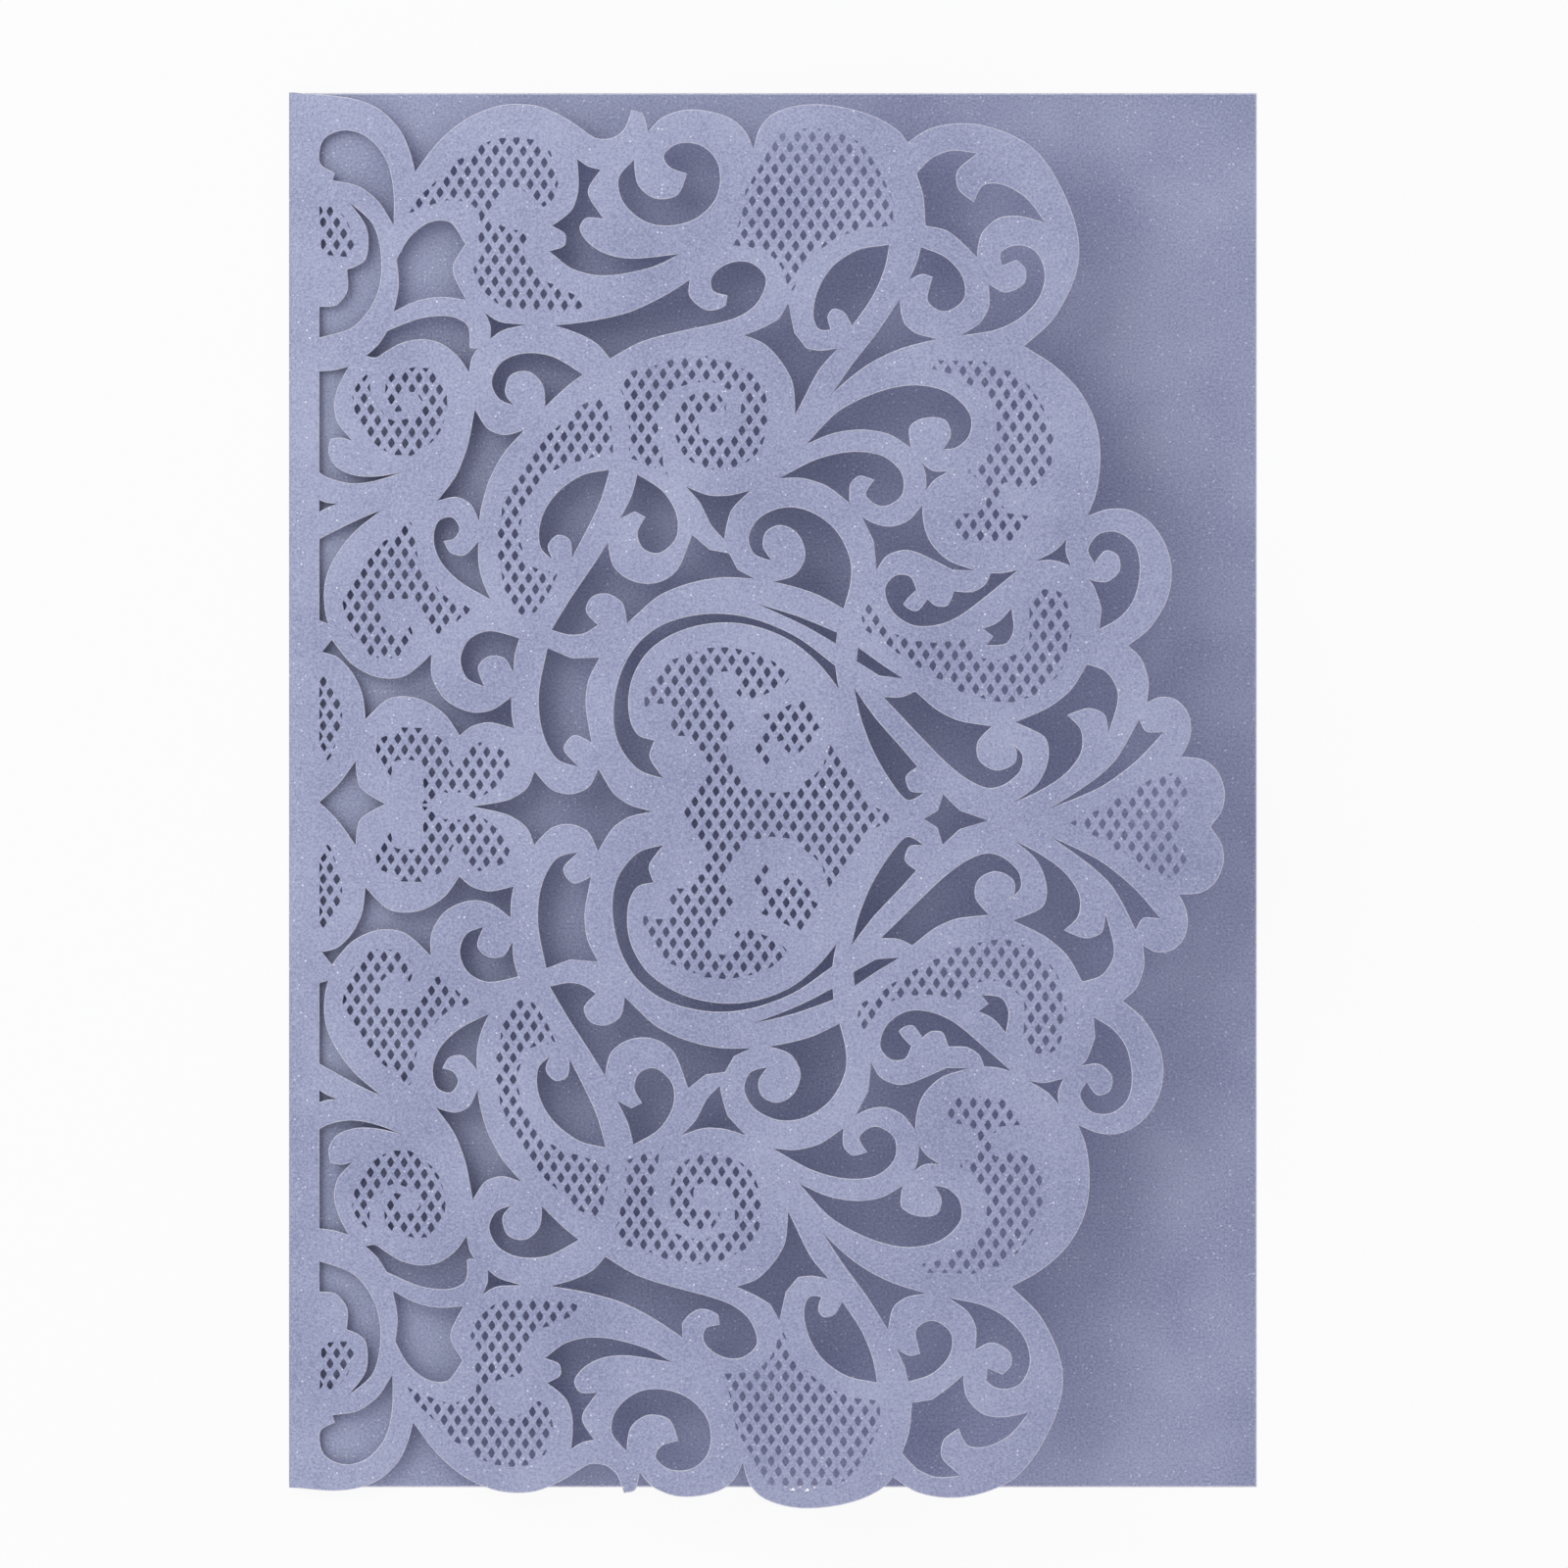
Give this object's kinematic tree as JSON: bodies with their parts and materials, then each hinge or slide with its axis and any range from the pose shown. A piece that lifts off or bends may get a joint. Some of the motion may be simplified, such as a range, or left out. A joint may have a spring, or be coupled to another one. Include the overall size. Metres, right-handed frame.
{
  "type": "lace-fronted folded invitation card",
  "caption": "Pearlescent card folded once along its left edge, with a scroll-cut lace flap lying over a plain back panel.",
  "frame": {"origin": "centre of the back panel's underside", "axes": "+X from the fold towards the flap's free edge, +Y towards the top of the card, +Z out of the front"},
  "size_m": [0.127, 0.1851, 0.0162],
  "materials": {
    "pearl_card": "pearlescent lavender card stock with fine mica flecks"
  },
  "bodies": {
    "root": {"folded_card": "pearl_card"}
  },
  "joints": []
}
